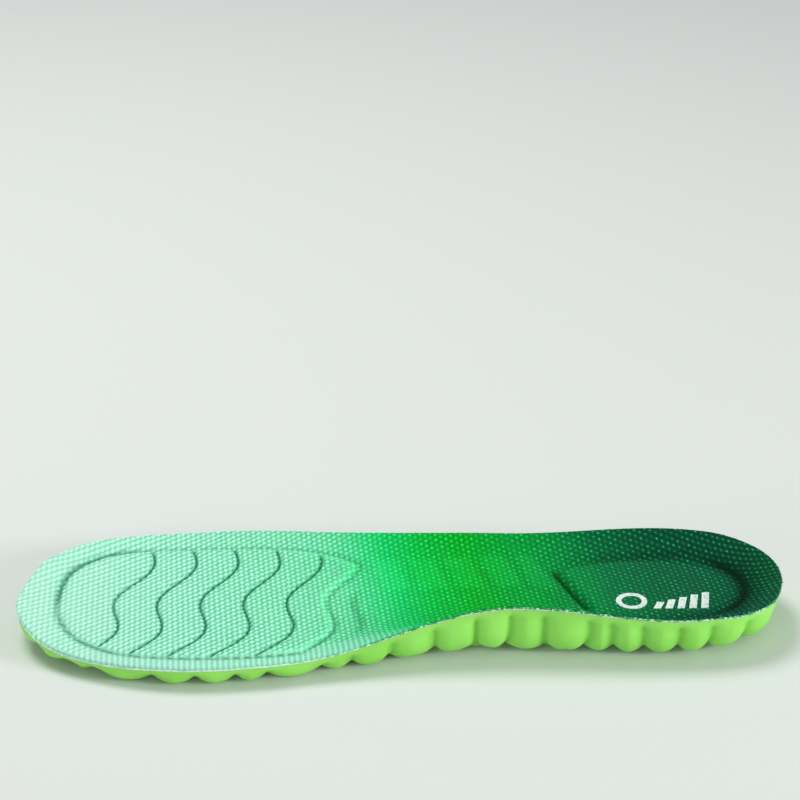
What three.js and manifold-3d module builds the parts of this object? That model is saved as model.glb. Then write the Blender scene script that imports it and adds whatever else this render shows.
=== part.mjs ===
// Cushioned insole for a right foot: a foam moulding with a pebbled underside, a backing film,
// a knitted mesh cover and a small print on the heel. Millimetres, +Z up. The toe points to -X and
// the arch side to -Y. The origin is on the ground, in the middle of the bounding box.
import * as THREE from 'three';
import { mergeVertices } from 'three/addons/utils/BufferGeometryUtils.js';
import Module from 'manifold-3d';

// ---- Overall sizes ----
const LENGTH = 270;
const BREADTH = 97.2;

// ---- Layers, from the ground up ----
const BACKING_THICKNESS = 0.3;
const COVER_THICKNESS = 1;
const PRINT_THICKNESS = 0.15;
const BOND_GAP = 0.1;

// ---- Foot bed ----
const HEEL_BED = 8.5;
const FOREFOOT_BED = 7.2;
const CUP_POWER = 3.5; // how late the bed starts to rise towards the rim
const EDGE_ROLL = 0.8; // how far the cover rolls down at its trimmed edge
const EDGE_ROLL_WIDTH = 2.5;
const HEEL_PAD_RISE = 1.5;
const HEEL_PAD_SLOPE = 2.5; // width of the pad's sloping border
const TOE_SPRING = 5; // lift of the toe tip off the ground
const TOE_SPRING_START = 222; // station where the underside leaves the ground
const BED_FALL = [90, 170]; // stations between which the bed falls from heel to forefoot height

// ---- Side wall and pebbles ----
// Reach of the wall's rounded foot, at stations u.
const WALL_ROUNDING = [[0, 17], [45, 11], [110, 11], [175, 5.5]];
const WALL_POWER = 2.3; // 2 would be an elliptic corner, more is squarer
const WALL_BULGE = 0.8;
const GROOVE_DEPTH = 2.4;
const GROOVE_HALF_WIDTH = 4.5;
const PLAIN_BAND = 5.5; // height under the rim over which the grooves run out
const PLAIN_SHARE = 0.7; // and the most of a low wall that this may take

// ---- Perforations ----
const PERFORATION_DIAMETER = 2.7;
const PERFORATION_SIDES = 6;

// ---- Print on the heel ----
const PRINT_CENTRE = [43, 10];
const RING_OUTER_RADIUS = 5.5;
const RING_INNER_RADIUS = 3.6;
const RING_SIDES = 24;
const BAR_COUNT = 5;
const BAR_WIDTH = 2.6;
const BAR_PITCH = 4.2;
const BAR_SLANT = 1.8; // sideways shift of a bar's top
const SHORTEST_BAR = 4.4;
const BAR_GROWTH = 1.6;

// ---- Plan pattern ----
// Points are [u, v]: u from the back of the heel towards the toe, v from the middle line towards
// the arch side, drawn for an insole of this size and stretched to LENGTH and BREADTH.
const PATTERN_LENGTH = 269.9;
const PATTERN_BREADTH = 97.2;
const HEEL_TIP = [0, 1.5];
const TOE_TIP = [269.9, 7.5];
const ARCH_SIDE = [
  [1.3, 12], [6.2, 23], [17, 31.5], [36, 35.4], [56, 35.4], [80, 33.7], [104, 32.7], [130, 35.2],
  [158, 41.1], [182, 46], [205, 48], [224, 46], [240, 41.3], [254.5, 34.2], [265.5, 22.8],
];
const OUTER_SIDE = [
  [1.9, -8], [7.2, -16.6], [18, -24.6], [36, -30.2], [56, -33.7], [80, -35.9], [104, -37.5],
  [130, -40], [158, -44.2], [180, -48.1], [200, -49.1], [219, -45.9], [236, -39.2],
  [252, -29.8], [264.3, -14],
];
// Rim height of the cover above the ground, without the toe spring, at stations u.
const ARCH_RIM = [[0, 18], [36, 18.6], [95, 22.8], [172, 9], [215, 8.8], [258, 6.7], [270, 7.8]];
const OUTER_RIM = [[0, 18], [20, 18.7], [95, 13.1], [205, 8.4], [247, 12], [262, 11.2], [270, 7.8]];

// Stations of the outline between which the middle line runs; beyond them the rays fan out.
const HEEL_STATION = 4;
const TOE_STATION = 12;
const STEPS_ALONG_SIDES = 4; // steps between two stations on the long sides
const STEPS_AROUND_ENDS = 2; // and round the heel and toe
const BED_RINGS = [0, 0.22, 0.45, 0.65, 0.82, 0.94, 1]; // share of the way to the rim
const UNDERSIDE_RINGS = 9;
const WALL_RINGS = 5;

// Raised pad under the heel on the foot bed: a rounded oval whose front is cut off at a slant.
const HEEL_PAD = { centre: [50, 1], halfLength: 36.5, halfBreadth: 20.5, power: 2.4 };
const HEEL_PAD_FRONT = { point: [73, 0.8], normal: [0.943, 0.331] };

// Pebbles of the underside. A pebble is the ground nearest to its circle or circles [u, v, radius].
const PEBBLES = [
  // heel pad and the pebbles round it
  [[36, 5, 17], [48, 6, 19.3], [60, 5, 17.5]],
  [[12, 8, 6.5]], [[12.5, 19.5, 7]], [[22.5, 28, 5.5]], [[34.4, 30.5, 5]], [[45.4, 30.5, 5.7]],
  [[56.4, 29, 5.2]], [[67, 27, 5.5]], [[76.3, 30, 4.8], [80.6, 30, 4.8]], [[12, -5, 6.5]],
  [[22, -15.5, 7]], [[39.5, -22, 8]], [[57, -22, 9]], [[72.5, -12.5, 6]], [[74, -25.5, 7]],
  // waist
  [[83, 16, 9.2]], [[85, -2, 8.5]], [[91.5, 27.5, 6.5]], [[99.5, 16, 4.8]], [[98, 5.5, 6]],
  [[110.5, 20.5, 6.2]], [[103.6, 31, 4.5]], [[116.3, 30, 5.5]], [[113, 8.5, 7]], [[126.5, 16.5, 8.5]],
  [[105.5, -8.5, 10.5]], [[126, -4, 9.5], [134, -4.5, 11.5], [142, -3, 8.5]], [[132.5, 28.5, 7]],
  [[142.5, 12.5, 7.8]], [[152.5, 22.5, 7.8]], [[146.2, 34, 4.8]], [[159.4, 33, 6]],
  [[168.5, 20, 8]], [[161.5, 4, 11]], [[88.5, -16.5, 7]], [[86.5, -29, 6]],
  [[99.5, -27, 7]], [[117, -20, 6.5], [111, -28, 5.5]], [[118.5, -35.5, 4.2]], [[132, -26.5, 10]],
  [[152.5, -18.5, 11.5]], [[147, -36, 6.5], [157, -37, 7]], [[174.5, -14, 12.5]],
  [[174.5, -37, 12]],
  // ball and toe
  [[171, 37, 7], [176, 38.5, 7.3]], [[184, 22.5, 8]], [[184.5, 6, 9.5]],
  [[204, 21, 14], [212, 21, 14.5]], [[186.5, 42, 5.3]], [[198.5, 42.5, 6]], [[212.5, 42, 6.3]],
  [[228, 38, 8.5]], [[233, 19.5, 8.5]], [[243, 30, 6]], [[252.5, 29, 3.8]],
  [[247, 12.5, 7.8]], [[260, 18.5, 5.5]], [[260.5, 5.5, 6]], [[202.5, -6, 12.5]],
  [[195, -26, 9]], [[228, 1.5, 7.5], [237, -1, 9.5], [245, -2, 7]], [[224.5, -14.5, 9]],
  [[214.5, -25.5, 8]], [[260, -5, 4.8]], [[239, -17.5, 5]], [[247.5, -15.5, 5.3]],
  [[256.5, -13, 5]], [[228, -28.5, 3.5], [234, -34.5, 3.2]], [[235, -26, 3.8], [239.5, -31.5, 3.5]],
  [[244.5, -27, 3.8]], [[251, -22.5, 3.8]], [[195, -41, 7.5]], [[209.5, -39, 7.5]],
  [[223, -38.5, 6]],
];

// Perforated pads: the middle of the pattern, how many holes each column across the foot has, the
// pitch along and across the foot, and the pattern's tilt in degrees.
const PERFORATED_PADS = [
  { middle: [48, 5.6], columns: [1, 2, 3, 4, 3, 2, 1], pitch: [7.45, 8.3], tilt: -4.6 },
  { middle: [133.8, -2.8], columns: [1, 2, 3, 2, 1], pitch: [6.2, 6.5], tilt: -2.5 },
  { middle: [161.8, 4.6], columns: [2, 3, 2], pitch: [5.9, 6.5], tilt: -2.5 },
  { middle: [153, -19.2], columns: [2, 3, 2], pitch: [6, 6.6], tilt: -1.5 },
  { middle: [175.5, -13.6], columns: [1, 2, 1], pitch: [5.95, 6.3], tilt: -17 },
  { middle: [184.6, 6.4], columns: [1, 2, 1], pitch: [5.7, 6.6], tilt: 27 },
  { middle: [202.3, -6.8], columns: [1, 2, 3, 2, 1], pitch: [5.6, 6.4], tilt: -1 },
  { middle: [195.4, -25.8], columns: [1, 2, 1], pitch: [5.65, 6.5], tilt: 0 },
  { middle: [209.8, 21.4], columns: [2, 3, 4, 3, 2], pitch: [5.7, 6.4], tilt: -7 },
  { middle: [236, -1.1], columns: [1, 2, 3, 2, 1], pitch: [5.3, 6.2], tilt: -8.5 },
];

const HEEL_PAD_TOP = HEEL_BED + HEEL_PAD_RISE;
const FOAM_DROP = COVER_THICKNESS + BACKING_THICKNESS + 2 * BOND_GAP; // top of cover to top of foam
const STATIONS = ARCH_SIDE.length + 1; // spans from heel tip to toe tip along one side
const WELD = 1e-4; // points closer than this are one corner

const { smoothstep, lerp, degToRad } = THREE.MathUtils;

// ---- Plan ----
const stretch = [LENGTH / PATTERN_LENGTH, BREADTH / PATTERN_BREADTH];

function toPlan([u, v]) {
  return new THREE.Vector2(-u * stretch[0], -v * stretch[1]);
}

function toPattern(plan) {
  return [-plan.x / stretch[0], -plan.y / stretch[1]];
}

// Smooth curve through [station, value] pairs, each span eased from one value to the next.
function profile(pairs, station) {
  const last = pairs.length - 1;
  const span = Math.min(last - 1, Math.max(0, pairs.findIndex(([u]) => u > station) - 1));
  const index = station >= pairs[last][0] ? last - 1 : span;
  const [[u0, a], [u1, b]] = [pairs[index], pairs[index + 1]];
  return lerp(a, b, smoothstep(station, u0, u1));
}

function outlineCurve() {
  const loop = [HEEL_TIP, ...ARCH_SIDE, TOE_TIP, ...OUTER_SIDE.toReversed()];
  const points = loop.map((point) => new THREE.Vector3(...toPlan(point).toArray(), 0));
  return new THREE.CatmullRomCurve3(points, true, 'catmullrom', 0.5);
}

const outline = outlineCurve();

function outlinePoint(station) {
  const share = station / (2 * STATIONS);
  const point = outline.getPoint(share - Math.floor(share));
  return new THREE.Vector2(point.x, point.y);
}

// A ray runs from the rim to the middle line. Opposite stations share its inner end.
function ray(station) {
  const onArchSide = station <= STATIONS;
  const partner = onArchSide ? station : 2 * STATIONS - station;
  const inner = Math.min(TOE_STATION, Math.max(HEEL_STATION, partner));
  const rim = outlinePoint(station);
  const middle = outlinePoint(inner).add(outlinePoint(2 * STATIONS - inner)).multiplyScalar(0.5);
  const [u] = toPattern(rim);
  const rimHeight = profile(onArchSide ? ARCH_RIM : OUTER_RIM, u);
  return { rim, middle, reach: rim.distanceTo(middle), rimHeight };
}

// Stations round the whole rim, with the spans on the long sides cut finer than those at the ends.
function perimeterStations(refinement) {
  const stations = [];
  for (let span = 0; span < 2 * STATIONS; span += 1) {
    const fromHeel = span < STATIONS ? span : 2 * STATIONS - 1 - span;
    const onSide = fromHeel >= HEEL_STATION && fromHeel < TOE_STATION;
    const steps = refinement * (onSide ? STEPS_ALONG_SIDES : STEPS_AROUND_ENDS);
    for (let step = 0; step < steps; step += 1) {
      stations.push(span + step / steps);
    }
  }
  return stations;
}

// ---- Heights ----
function toeLift(u) {
  const share = Math.max(0, (u - TOE_SPRING_START) / (PATTERN_LENGTH - TOE_SPRING_START));
  return TOE_SPRING * share * share;
}

function bedHeight(u) {
  return lerp(HEEL_BED, FOREFOOT_BED, smoothstep(u, ...BED_FALL));
}

// Distance inside the heel pad's border, in pattern millimetres; negative outside.
function heelPadInset([u, v]) {
  const { centre, halfLength, halfBreadth, power } = HEEL_PAD;
  const along = Math.abs(u - centre[0]) / halfLength;
  const across = Math.abs(v - centre[1]) / halfBreadth;
  const oval = (1 - (along ** power + across ** power) ** (1 / power)) * halfBreadth;
  const { point, normal } = HEEL_PAD_FRONT;
  const front = -(normal[0] * (u - point[0]) + normal[1] * (v - point[1]));
  return Math.min(oval, front);
}

// Top of the cover at a share of the way from the middle line to the rim.
function bedPoint(line, share) {
  const plan = line.middle.clone().lerp(line.rim, share);
  const place = toPattern(plan);
  const bed = bedHeight(place[0]);
  const cup = bed + (line.rimHeight - bed) * share ** CUP_POWER;
  const padded = lerp(cup, HEEL_PAD_TOP, smoothstep(heelPadInset(place), 0, HEEL_PAD_SLOPE));
  const fromEdge = Math.min(1, ((1 - share) * line.reach) / EDGE_ROLL_WIDTH);
  const roll = EDGE_ROLL * (1 - Math.sqrt(1 - (1 - fromEdge) ** 2));
  return new THREE.Vector3(plan.x, plan.y, padded - roll + toeLift(place[0]));
}

// ---- Pebbles ----
function distanceToGroove([u, v]) {
  let nearest = Infinity;
  let second = Infinity;
  for (const pebble of PEBBLES) {
    const distance = Math.min(...pebble.map(([cu, cv, radius]) => Math.hypot(u - cu, v - cv) - radius));
    second = Math.min(second, Math.max(nearest, distance));
    nearest = Math.min(nearest, distance);
  }
  return (second - nearest) / 2;
}

function grooveDepth(place) {
  const share = Math.min(1, distanceToGroove(place) / GROOVE_HALF_WIDTH);
  return GROOVE_DEPTH * (1 - share) ** 3;
}

function foamRimHeight(line) {
  return line.rimHeight - EDGE_ROLL - FOAM_DROP;
}

// Point on the foam's side or underside: turn 0 is the rim and turn 1 the foot of the wall, where
// the flat underside starts; share runs on from there to the middle line.
function foamPoint(line, turn, share) {
  const inward = line.middle.clone().sub(line.rim).normalize();
  const [rimU] = toPattern(line.rim);
  const height = foamRimHeight(line);
  const angle = (turn * Math.PI) / 2;
  const rounding = Math.min(profile(WALL_ROUNDING, rimU), line.reach);
  const corner = rounding * (1 - Math.cos(angle) ** (2 / WALL_POWER));
  const inset = corner - WALL_BULGE * Math.sin(2 * angle) + share * (line.reach - rounding);
  const level = height * (1 - Math.sin(angle) ** (2 / WALL_POWER));
  const plan = line.rim.clone().addScaledVector(inward, inset);
  const runOut = smoothstep(height - level, 0, Math.min(PLAIN_BAND, height * PLAIN_SHARE));
  const depth = grooveDepth(toPattern(plan)) * runOut;
  plan.addScaledVector(inward, depth * Math.cos(angle));
  const [u] = toPattern(plan);
  return new THREE.Vector3(plan.x, plan.y, level + depth * Math.sin(angle) + toeLift(u));
}

// ---- Mesh building ----
// Closed body from rings of points listed in order over its skin, from one seam to the other. A
// ring has as many points as the one before it, or twice as many.
function closedBody(rings) {
  const corners = [];
  const addTriangle = (a, b, c) => {
    if (Math.min(a.distanceTo(b), b.distanceTo(c), c.distanceTo(a)) > WELD) {
      corners.push(a, b, c);
    }
  };
  for (let ring = 0; ring + 1 < rings.length; ring += 1) {
    addBand(rings[ring], rings[ring + 1], addTriangle);
  }
  const soup = new THREE.BufferGeometry().setFromPoints(corners);
  return mergeVertices(soup, WELD);
}

function addBand(from, to, addTriangle) {
  const count = from.length;
  const refinement = to.length / count;
  for (let k = 0; k < count; k += 1) {
    const [a, b] = [from[k], from[(k + 1) % count]];
    const [c, d] = [to[k * refinement], to[((k + 1) * refinement) % to.length]];
    if (refinement === 2) {
      const between = to[2 * k + 1];
      addTriangle(a, between, c);
      addTriangle(a, b, between);
      addTriangle(b, d, between);
    } else if (a.distanceTo(d) < b.distanceTo(c)) {
      addTriangle(a, d, c);
      addTriangle(a, b, d);
    } else {
      addTriangle(a, b, c);
      addTriangle(b, d, c);
    }
  }
}

const coarseRays = perimeterStations(1).map(ray);
const fineRays = perimeterStations(2).map(ray);

function bedRing(rays, share, drop) {
  return rays.map((line) => bedPoint(line, share).sub(new THREE.Vector3(0, 0, drop)));
}

// A sheet that follows the foot bed, its top this far under the top of the cover.
function bedSheet(drop, thickness) {
  const top = BED_RINGS.map((share) => bedRing(coarseRays, share, drop));
  const bottom = BED_RINGS.map((share) => bedRing(coarseRays, share, drop + thickness));
  return closedBody([...top, ...bottom.toReversed()]);
}

function foamBlank() {
  const rings = BED_RINGS.map((share) => bedRing(coarseRays, share, FOAM_DROP));
  for (let step = 1; step <= WALL_RINGS; step += 1) {
    rings.push(fineRays.map((line) => foamPoint(line, step / WALL_RINGS, 0)));
  }
  for (let step = 1; step <= UNDERSIDE_RINGS; step += 1) {
    rings.push(fineRays.map((line) => foamPoint(line, 1, step / UNDERSIDE_RINGS)));
  }
  return closedBody(rings);
}

function perforationCentres() {
  const centres = [];
  for (const { middle, columns, pitch, tilt } of PERFORATED_PADS) {
    columns.forEach((count, column) => {
      for (let row = 0; row < count; row += 1) {
        const offset = new THREE.Vector2(
          (column - (columns.length - 1) / 2) * pitch[0],
          (row - (count - 1) / 2) * pitch[1],
        );
        offset.rotateAround(new THREE.Vector2(), degToRad(tilt));
        centres.push(toPlan([middle[0] + offset.x, middle[1] + offset.y]));
      }
    });
  }
  return centres;
}

const wasm = await Module();
wasm.setup();

function toSolid(geometry) {
  const bare = geometry.clone();
  bare.deleteAttribute('normal');
  bare.deleteAttribute('uv');
  const merged = mergeVertices(bare, WELD);
  const mesh = new wasm.Mesh({
    numProp: 3,
    vertProperties: merged.attributes.position.array,
    triVerts: new Uint32Array(merged.index.array),
  });
  return new wasm.Manifold(mesh);
}

function toGeometry(solid) {
  const mesh = solid.getMesh();
  const geometry = new THREE.BufferGeometry();
  geometry.setAttribute('position', new THREE.BufferAttribute(mesh.vertProperties, 3));
  geometry.setIndex(new THREE.BufferAttribute(mesh.triVerts, 1));
  return geometry;
}

function foamBody() {
  const pinLength = 2 * Math.max(...ARCH_RIM.map(([, height]) => height));
  const radius = PERFORATION_DIAMETER / 2;
  let solid = toSolid(foamBlank());
  for (const centre of perforationCentres()) {
    const pin = new THREE.CylinderGeometry(radius, radius, pinLength, PERFORATION_SIDES);
    pin.rotateX(Math.PI / 2);
    pin.translate(centre.x, centre.y, 0);
    solid = solid.subtract(toSolid(pin));
  }
  return toGeometry(solid);
}

// ---- Print ----
// The print reads from the arch side, so its own x runs along +X and its own y along +Y.
function printed(shape) {
  const film = new THREE.ExtrudeGeometry(shape, {
    depth: PRINT_THICKNESS,
    bevelEnabled: false,
    curveSegments: RING_SIDES / 2,
  });
  const centre = toPlan(PRINT_CENTRE);
  return film.translate(centre.x, centre.y, HEEL_PAD_TOP + BOND_GAP);
}

function printWidth() {
  return 2 * RING_OUTER_RADIUS + BAR_COUNT * BAR_PITCH;
}

function ringShape() {
  const x = -printWidth() / 2 + RING_OUTER_RADIUS;
  const shape = new THREE.Shape().absarc(x, 0, RING_OUTER_RADIUS, 0, 2 * Math.PI);
  shape.holes.push(new THREE.Path().absarc(x, 0, RING_INNER_RADIUS, 0, 2 * Math.PI, true));
  return shape;
}

function barShape(index) {
  const height = SHORTEST_BAR + index * BAR_GROWTH;
  const left = -printWidth() / 2 + 2 * RING_OUTER_RADIUS + index * BAR_PITCH + BAR_PITCH - BAR_WIDTH;
  const foot = -RING_OUTER_RADIUS;
  return new THREE.Shape([
    new THREE.Vector2(left, foot),
    new THREE.Vector2(left + BAR_WIDTH, foot),
    new THREE.Vector2(left + BAR_WIDTH + BAR_SLANT, foot + height),
    new THREE.Vector2(left + BAR_SLANT, foot + height),
  ]);
}

// ---- Assembly ----
const foamFinish = new THREE.MeshStandardMaterial({ color: '#9be66a', roughness: 0.5, metalness: 0 });
const filmFinish = new THREE.MeshStandardMaterial({ color: '#dfeee2', roughness: 0.6, metalness: 0 });
const meshFinish = new THREE.MeshStandardMaterial({ color: '#3fcf8a', roughness: 0.9, metalness: 0 });
const printFinish = new THREE.MeshStandardMaterial({ color: '#eef5ef', roughness: 0.5, metalness: 0 });

function addPart(group, name, geometry, material) {
  const mesh = new THREE.Mesh(geometry, material.clone());
  mesh.name = name;
  group.add(mesh);
}

function insoleAssembly() {
  const group = new THREE.Group();
  addPart(group, 'foam_body', foamBody(), foamFinish);
  addPart(group, 'backing_film', bedSheet(COVER_THICKNESS + BOND_GAP, BACKING_THICKNESS), filmFinish);
  addPart(group, 'mesh_cover', bedSheet(0, COVER_THICKNESS), meshFinish);
  addPart(group, 'print_ring', printed(ringShape()), printFinish);
  for (let bar = 0; bar < BAR_COUNT; bar += 1) {
    addPart(group, `print_bar_${bar + 1}`, printed(barShape(bar)), printFinish);
  }
  return group;
}

const insole = insoleAssembly();
const box = new THREE.Box3().setFromObject(insole);
const middle = box.getCenter(new THREE.Vector3());
insole.position.set(-middle.x, -middle.y, -box.min.z);

export default insole;
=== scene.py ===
"""Cushioned insole for a right foot: the looks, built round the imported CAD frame.

The foam moulding, the backing film, the knitted cover and the heel print are surfaces worked out
with numpy on grids. Shapes are designed in plan as (u, v) in millimetres, u from the back of the
heel towards the toe and v from the middle line towards the arch side, and are then stretched to
the cover that the frame holds. Heights are in millimetres above the ground.
"""
import math

import bpy
import numpy as np
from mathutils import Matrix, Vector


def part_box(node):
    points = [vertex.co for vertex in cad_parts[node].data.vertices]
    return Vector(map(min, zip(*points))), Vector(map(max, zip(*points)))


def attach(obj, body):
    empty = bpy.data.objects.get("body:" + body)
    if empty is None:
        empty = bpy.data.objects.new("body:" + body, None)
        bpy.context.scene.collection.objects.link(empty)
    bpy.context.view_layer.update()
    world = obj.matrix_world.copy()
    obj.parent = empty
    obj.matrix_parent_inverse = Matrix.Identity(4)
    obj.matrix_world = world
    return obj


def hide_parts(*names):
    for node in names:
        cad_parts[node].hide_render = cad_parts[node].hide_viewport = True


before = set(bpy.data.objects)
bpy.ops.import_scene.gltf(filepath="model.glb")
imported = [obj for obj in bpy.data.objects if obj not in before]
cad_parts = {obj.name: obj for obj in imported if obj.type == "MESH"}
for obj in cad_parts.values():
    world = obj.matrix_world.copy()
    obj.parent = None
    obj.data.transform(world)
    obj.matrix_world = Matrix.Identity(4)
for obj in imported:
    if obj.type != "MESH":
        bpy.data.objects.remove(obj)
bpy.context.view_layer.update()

MM = 0.001
rng = np.random.default_rng(27)

# ---- Plan, as in the CAD part ----
HEEL_TIP = (0, 1.5)
TOE_TIP = (269.9, 7.5)
ARCH_SIDE = [
    (1.3, 12), (6.2, 23), (17, 31.5), (36, 35.4), (56, 35.4), (80, 33.7), (104, 32.7),
    (130, 35.2), (158, 41.1), (182, 46), (205, 48), (224, 46), (240, 41.3), (254.5, 34.2),
    (265.5, 22.8),
]
OUTER_SIDE = [
    (1.9, -8), (7.2, -16.6), (18, -24.6), (36, -30.2), (56, -33.7), (80, -35.9), (104, -37.5),
    (130, -40), (158, -44.2), (180, -48.1), (200, -49.1), (219, -45.9), (236, -39.2),
    (252, -29.8), (264.3, -14),
]
STATIONS = len(ARCH_SIDE) + 1  # spans from heel tip to toe tip along one side
HEEL_STATION = 4  # the middle line runs between these; beyond them the rays fan out
TOE_STATION = 12
PLAN_LENGTH = 269.9

# Rim height of the cover, without the toe spring, at stations u.
ARCH_RIM = [(0, 18), (36, 18.6), (95, 22.8), (172, 9), (215, 8.8), (258, 6.7), (270, 7.8)]
OUTER_RIM = [(0, 18), (20, 18.7), (95, 13.1), (205, 8.4), (247, 12), (262, 11.2), (270, 7.8)]

# ---- Layers and foot bed, as in the CAD part ----
BACKING_THICKNESS = 0.3
COVER_THICKNESS = 1.0
PRINT_THICKNESS = 0.15
BOND_GAP = 0.1
FOAM_DROP = COVER_THICKNESS + BACKING_THICKNESS + 2 * BOND_GAP
HEEL_BED = 8.5
FOREFOOT_BED = 7.2
BED_FALL = (90, 170)
CUP_POWER = 3.5
EDGE_ROLL = 0.8
EDGE_ROLL_WIDTH = 2.5
HEEL_PAD_TOP = HEEL_BED + 1.5
TOE_SPRING = 5.0
TOE_SPRING_START = 222

# ---- Side wall and pebbles ----
WALL_ROUNDING = [(0, 17), (45, 11), (110, 11), (175, 5.5)]
WALL_POWER = 2.3
WALL_BULGE = 0.8
GROOVE_DEPTH = 2.6
GROOVE_RADIUS = 0.35  # roundness of a groove's bottom
FLAT_PEBBLE = 9  # pebbles whose circle is at least this big have a flat crown
PLAIN_BAND = 5.5
PLAIN_SHARE = 0.75

PEBBLES = [
    # heel pad and the pebbles round it
    [(36, 5, 17), (48, 6, 19.3), (60, 5, 17.5)],
    [(12, 8, 6.5)], [(12.5, 19.5, 7)], [(22.5, 28, 5.5)], [(34.4, 30.5, 5)], [(45.4, 30.5, 5.7)],
    [(56.4, 29, 5.2)], [(67, 27, 5.5)], [(76.3, 30, 4.8), (80.6, 30, 4.8)], [(12, -5, 6.5)],
    [(22, -15.5, 7)], [(39.5, -22, 8)], [(57, -22, 9)], [(72.5, -12.5, 6)], [(74, -25.5, 7)],
    # waist
    [(83, 16, 9.2)], [(85, -2, 8.5)], [(91.5, 27.5, 6.5)], [(99.5, 16, 4.8)], [(98, 5.5, 6)],
    [(110.5, 20.5, 6.2)], [(103.6, 31, 4.5)], [(116.3, 30, 5.5)], [(113, 8.5, 7)],
    [(126.5, 16.5, 8.5)], [(105.5, -8.5, 10.5)],
    [(126, -4, 9.5), (134, -4.5, 11.5), (142, -3, 8.5)], [(132.5, 28.5, 7)], [(142.5, 12.5, 7.8)],
    [(152.5, 22.5, 7.8)], [(146.2, 34, 4.8)], [(159.4, 33, 6)],
    [(168.5, 20, 8)], [(161.5, 4, 11)], [(88.5, -16.5, 7)], [(86.5, -29, 6)], [(99.5, -27, 7)],
    [(117, -20, 6.5), (111, -28, 5.5)], [(118.5, -35.5, 4.2)], [(132, -26.5, 10)],
    [(152.5, -18.5, 11.5)], [(147, -36, 6.5), (157, -37, 7)], [(174.5, -14, 12.5)],
    [(174.5, -37, 12)],
    # ball and toe
    [(171, 37, 7), (176, 38.5, 7.3)], [(184, 22.5, 8)], [(184.5, 6, 9.5)],
    [(204, 21, 14), (212, 21, 14.5)], [(186.5, 42, 5.3)], [(198.5, 42.5, 6)],
    [(212.5, 42, 6.3)], [(228, 38, 8.5)], [(233, 19.5, 8.5)], [(243, 30, 6)],
    [(252.5, 29, 3.8)], [(247, 12.5, 7.8)], [(260, 18.5, 5.5)], [(260.5, 5.5, 6)],
    [(202.5, -6, 12.5)], [(195, -26, 9)], [(228, 1.5, 7.5), (237, -1, 9.5), (245, -2, 7)],
    [(224.5, -14.5, 9)], [(214.5, -25.5, 8)], [(260, -5, 4.8)], [(239, -17.5, 5)],
    [(247.5, -15.5, 5.3)], [(256.5, -13, 5)], [(228, -28.5, 3.5), (234, -34.5, 3.2)],
    [(235, -26, 3.8), (239.5, -31.5, 3.5)], [(244.5, -27, 3.8)], [(251, -22.5, 3.8)],
    [(195, -41, 7.5)], [(209.5, -39, 7.5)], [(223, -38.5, 6)],
]

# Perforated pads: middle, holes in each column, pitch along and across the foot, tilt in degrees.
PERFORATION_DIAMETER = 2.7
PIN_SPAN = (-3.0, 25.0)  # heights between which the moulding pins run
PERFORATED_PADS = [
    ((48, 5.6), (1, 2, 3, 4, 3, 2, 1), (7.45, 8.3), -4.6),
    ((133.8, -2.8), (1, 2, 3, 2, 1), (6.2, 6.5), -2.5),
    ((161.8, 4.6), (2, 3, 2), (5.9, 6.5), -2.5),
    ((153, -19.2), (2, 3, 2), (6, 6.6), -1.5),
    ((175.5, -13.6), (1, 2, 1), (5.95, 6.3), -17),
    ((184.6, 6.4), (1, 2, 1), (5.7, 6.6), 27),
    ((202.3, -6.8), (1, 2, 3, 2, 1), (5.6, 6.4), -1),
    ((195.4, -25.8), (1, 2, 1), (5.65, 6.5), 0),
    ((209.8, 21.4), (2, 3, 4, 3, 2), (5.7, 6.4), -7),
    ((236, -1.1), (1, 2, 3, 2, 1), (5.3, 6.2), -8.5),
]

# ---- Embossing of the foot bed ----
WAVE_PITCH = 15.3
WAVE_MIDDLE = 202.0  # where the middle groove crosses the middle line
WAVE_LEAN = 0.2
WAVE_SWING = 3.5
WAVE_LENGTH = 46.0
WAVE_COUNT = 5
WAVE_DEPTH = 0.75
WAVE_HALF_WIDTH = 0.58
FOREFOOT_PAD_RISE = 0.75
HEEL_PAD = ((50, 1), (36.5, 20.5), 2.4)  # an oval's middle, reach each way and squareness
HEEL_PAD_FRONT = (73, 0.8)  # where the slanting front of the pad crosses its middle
HEEL_PAD_FACING = (0.943, 0.331)  # which way that front looks
FOREFOOT_PAD = ((198, 3), (57, 38.5), 2.5)
FOREFOOT_PAD_END = -2.9  # its rear end follows a wave, counted from the middle one
WAVE_CREST = 1.0  # where across the foot the waves' sine is at its crest
WAVE_SWEEP_START = 15  # from this line towards the arch side the waves sweep forward
WAVE_SWEEP = 0.005
ARCH_BARS = 5
ARCH_BAR_FRONT = 138.2
ARCH_BAR_PITCH = 13.2
ARCH_BAR_LEAN = 0.25
ARCH_BAR_ACROSS = -14  # the bars' middle, on the outer side of the middle line
ARCH_BAR_RISE = 0.4
STEP_WAVE = -3.55  # the step behind the forefoot pad, counted in waves
DENT_HALF_WIDTH = 2.6
DENT_DEPTH = 0.38
RIM_GROOVE_DEPTH = 0.3
SOFT_GROOVE_DEPTH = 0.4
HEEL_GROOVE_DEPTH = 0.7

# ---- Knit ----
KNIT_COLUMN = 3.73  # two columns of loops along the foot
KNIT_ROW = 2.75  # two staggered rows of loops across it
KNIT_TURN = math.radians(4.5)  # the cloth's grain against the insole's length
KNIT_CLOSING = 0.0004  # share by which its rows close up per millimetre towards the heel
KNIT_RELIEF = 0.085
LOOP_SLANT = (0.12, -0.0035)  # how far a loop leans over: at mid-length, and per millimetre of x
CROSSED_SHARE = 0.75  # shares of the crossed pattern and of the plain columns in the weave
COLUMN_SHARE = 0.4


# ======== Maths of the plan ========
def smoothstep(value, low, high):
    """Eased share of the way from low to high: three times its square less twice its cube."""
    share = np.clip((value - low) / (high - low), 0, 1)
    return share * share * (3 - 2 * share)


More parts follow.
